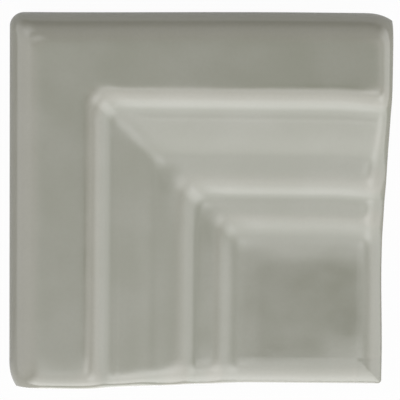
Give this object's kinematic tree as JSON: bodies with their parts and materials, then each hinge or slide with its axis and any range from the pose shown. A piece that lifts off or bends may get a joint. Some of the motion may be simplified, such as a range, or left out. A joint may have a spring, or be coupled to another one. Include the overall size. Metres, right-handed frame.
{
  "type": "corner moulding tile",
  "caption": "Square glazed ceramic tile with a stepped moulding mitred round one corner, a thick rounded band outside and a low flat inside, to turn a run of moulding at a panel's corner.",
  "frame": {"origin": "middle of the square back, on the bedding plane", "axes": "+Z out of the glazed face; the thick band runs along the -X and +Y sides, the low flat is at the +X, -Y corner, and the ends that meet other tiles face +X and -Y"},
  "size_m": [0.075, 0.075, 0.0185],
  "materials": {
    "glazed_ware": "gloss grey-green glaze"
  },
  "bodies": {
    "root": {"corner_moulding_tile": "glazed_ware"}
  },
  "joints": []
}
